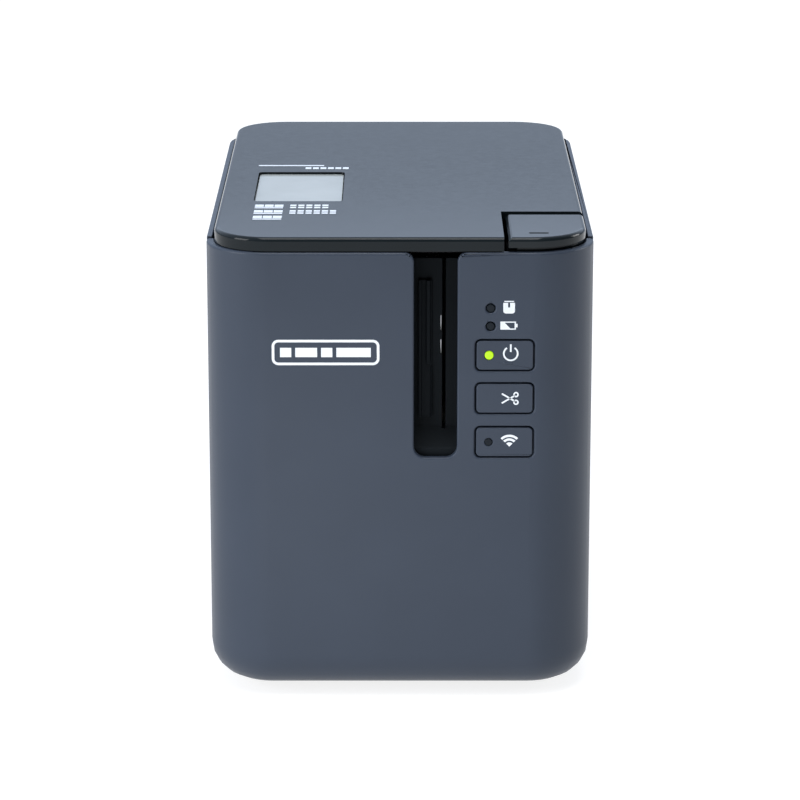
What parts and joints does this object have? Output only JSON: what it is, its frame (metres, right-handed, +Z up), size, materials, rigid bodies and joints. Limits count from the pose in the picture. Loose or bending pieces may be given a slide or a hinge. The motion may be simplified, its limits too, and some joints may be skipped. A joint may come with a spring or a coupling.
{
  "type": "label maker",
  "caption": "Desktop tape label printer with a hinged top lid, cover release, front keys, tape exit slot, cassette bay, roller drive and cutter.",
  "frame": {"origin": "centre of the footprint at the surface it stands on", "axes": "+Z up, -Y to the front face, +X to the viewer's right; the depth along Y is the longest side"},
  "size_m": [0.118, 0.192, 0.146],
  "materials": {
    "slate_plastic": "fine matte grain",
    "gloss_plastic": "polished",
    "black_plastic": "satin",
    "cassette_plastic": "satin",
    "gear_plastic": "satin",
    "clear_pane": "clear polished",
    "green_lens": "lit lens",
    "dark_lens": "unlit lens",
    "label_white": "paper and film",
    "circuit_board": "solder mask",
    "chassis_metal": "zinc plated",
    "steel": "brushed",
    "brass": "machined",
    "ceramic": "glazed",
    "rubber": "soft"
  },
  "bodies": {
    "case": {"front_cover": "slate_plastic", "left_side_cover": "slate_plastic", "right_side_cover": "slate_plastic", "rear_cover": "slate_plastic", "base_tray": "black_plastic", "exit_chute": "black_plastic", "tape_guide": "black_plastic", "hinge_rod": "steel", "release_spring": "steel", "cassette_light": "dark_lens", "battery_light": "dark_lens", "power_switch": "black_plastic", "feed_switch": "black_plastic", "wireless_switch": "black_plastic", "panel_board": "circuit_board", "chassis_deck": "chassis_metal", "bay_deck": "black_plastic", "cassette_case_lower": "cassette_plastic", "cassette_case_upper": "cassette_plastic", "cassette_label": "label_white", "tape_roll": "label_white", "ribbon_supply_spool": "black_plastic", "head_bracket": "steel", "print_head": "ceramic", "feed_motor": "steel", "fixed_blade": "steel", "cutter_frame": "chassis_metal", "cutter_motor": "steel", "main_board": "circuit_board", "dc_jack": "black_plastic", "usb_b_socket": "steel", "usb_a_socket": "steel", "lan_socket": "steel", "foot_1": "rubber", "foot_2": "rubber", "foot_3": "rubber", "foot_4": "rubber", "base_screw_1": "steel", "base_screw_2": "steel"},
    "lid": {"lid_cover": "gloss_plastic", "lid_window": "clear_pane", "lid_inner_frame": "black_plastic", "lid_hook": "black_plastic"},
    "release": {"release_button": "gloss_plastic"},
    "latch": {"latch_slide": "gear_plastic"},
    "power": {"power_key": "slate_plastic", "power_light": "green_lens"},
    "feed_cut": {"feed_cut_key": "slate_plastic"},
    "wireless": {"wireless_key": "slate_plastic", "wireless_light": "dark_lens"},
    "holder": {"roller_holder": "black_plastic"},
    "platen": {"platen_roller": "rubber", "platen_gear": "gear_plastic"},
    "idler": {"idler_gear": "gear_plastic"},
    "reduction": {"reduction_gear": "gear_plastic"},
    "pinion": {"motor_pinion": "brass"},
    "spindle": {"ribbon_spindle": "gear_plastic", "ribbon_takeup_spool": "black_plastic"},
    "blade": {"moving_blade": "steel"},
    "blade_drive": {"cutter_pinion": "gear_plastic"}
  },
  "joints": [
    {"name": "lid_hinge", "type": "hinge", "parent": "case", "child": "lid", "pos_m": [0, 0.091, 0.1413], "axis": [-1, 0, 0], "range_deg": [0, 100]},
    {"name": "release_press", "type": "slide", "parent": "case", "child": "release", "axis": [0, 0, -1], "range_m": [0, 0.001], "stiffness_N_per_m": 800, "springref_m": -0.002, "deforming": ["release_spring"]},
    {"name": "latch_travel", "type": "slide", "parent": "case", "child": "latch", "axis": [1, 0, 0], "range_m": [0, 0.0012]},
    {"name": "power_press", "type": "slide", "parent": "case", "child": "power", "axis": [0, 1, 0], "range_m": [0, 0.0008], "stiffness_N_per_m": 1200, "springref_m": -0.0008},
    {"name": "feed_cut_press", "type": "slide", "parent": "case", "child": "feed_cut", "axis": [0, 1, 0], "range_m": [0, 0.0008], "stiffness_N_per_m": 1200, "springref_m": -0.0008},
    {"name": "wireless_press", "type": "slide", "parent": "case", "child": "wireless", "axis": [0, 1, 0], "range_m": [0, 0.0008], "stiffness_N_per_m": 1200, "springref_m": -0.0008},
    {"name": "holder_swing", "type": "hinge", "parent": "case", "child": "holder", "pos_m": [0.0208, -0.07, 0.1084], "axis": [0, 0, -1], "range_deg": [0, 10]},
    {"name": "reduction_spin", "type": "hinge", "parent": "case", "child": "reduction", "pos_m": [0.00545, -0.02579, 0.0805], "axis": [0, 0, 1], "continuous": true},
    {"name": "idler_spin", "type": "hinge", "parent": "case", "child": "idler", "pos_m": [0.001, -0.051, 0.0805], "axis": [0, 0, 1], "continuous": true},
    {"name": "pinion_spin", "type": "hinge", "parent": "case", "child": "pinion", "pos_m": [0.02499, -0.01867, 0.0805], "axis": [0, 0, 1], "continuous": true},
    {"name": "spindle_spin", "type": "hinge", "parent": "case", "child": "spindle", "pos_m": [-0.016, -0.04644, 0.0805], "axis": [0, 0, 1], "continuous": true},
    {"name": "platen_spin", "type": "hinge", "parent": "holder", "child": "platen", "pos_m": [0.0178, -0.051, 0.0805], "axis": [0, 0, 1], "continuous": true},
    {"name": "blade_swing", "type": "hinge", "parent": "case", "child": "blade", "pos_m": [0.017, -0.0787, 0.064], "axis": [0, -1, 0], "range_deg": [0, 14]},
    {"name": "blade_drive_spin", "type": "hinge", "parent": "case", "child": "blade_drive", "pos_m": [0.017, -0.0785, 0.0424], "axis": [0, -1, 0], "range_deg": [-40.5, 0]}
  ],
  "couplings": [
    {"joint": "latch_travel", "follows": "release_press", "ratio": 1.2},
    {"joint": "holder_swing", "follows": "lid_hinge", "ratio": 0.1},
    {"joint": "idler_spin", "follows": "reduction_spin", "ratio": -1.6667},
    {"joint": "pinion_spin", "follows": "reduction_spin", "ratio": -3.3333},
    {"joint": "spindle_spin", "follows": "reduction_spin", "ratio": 2},
    {"joint": "platen_spin", "follows": "reduction_spin", "ratio": 2.2222},
    {"joint": "blade_drive_spin", "follows": "blade_swing", "ratio": -2.8571}
  ]
}
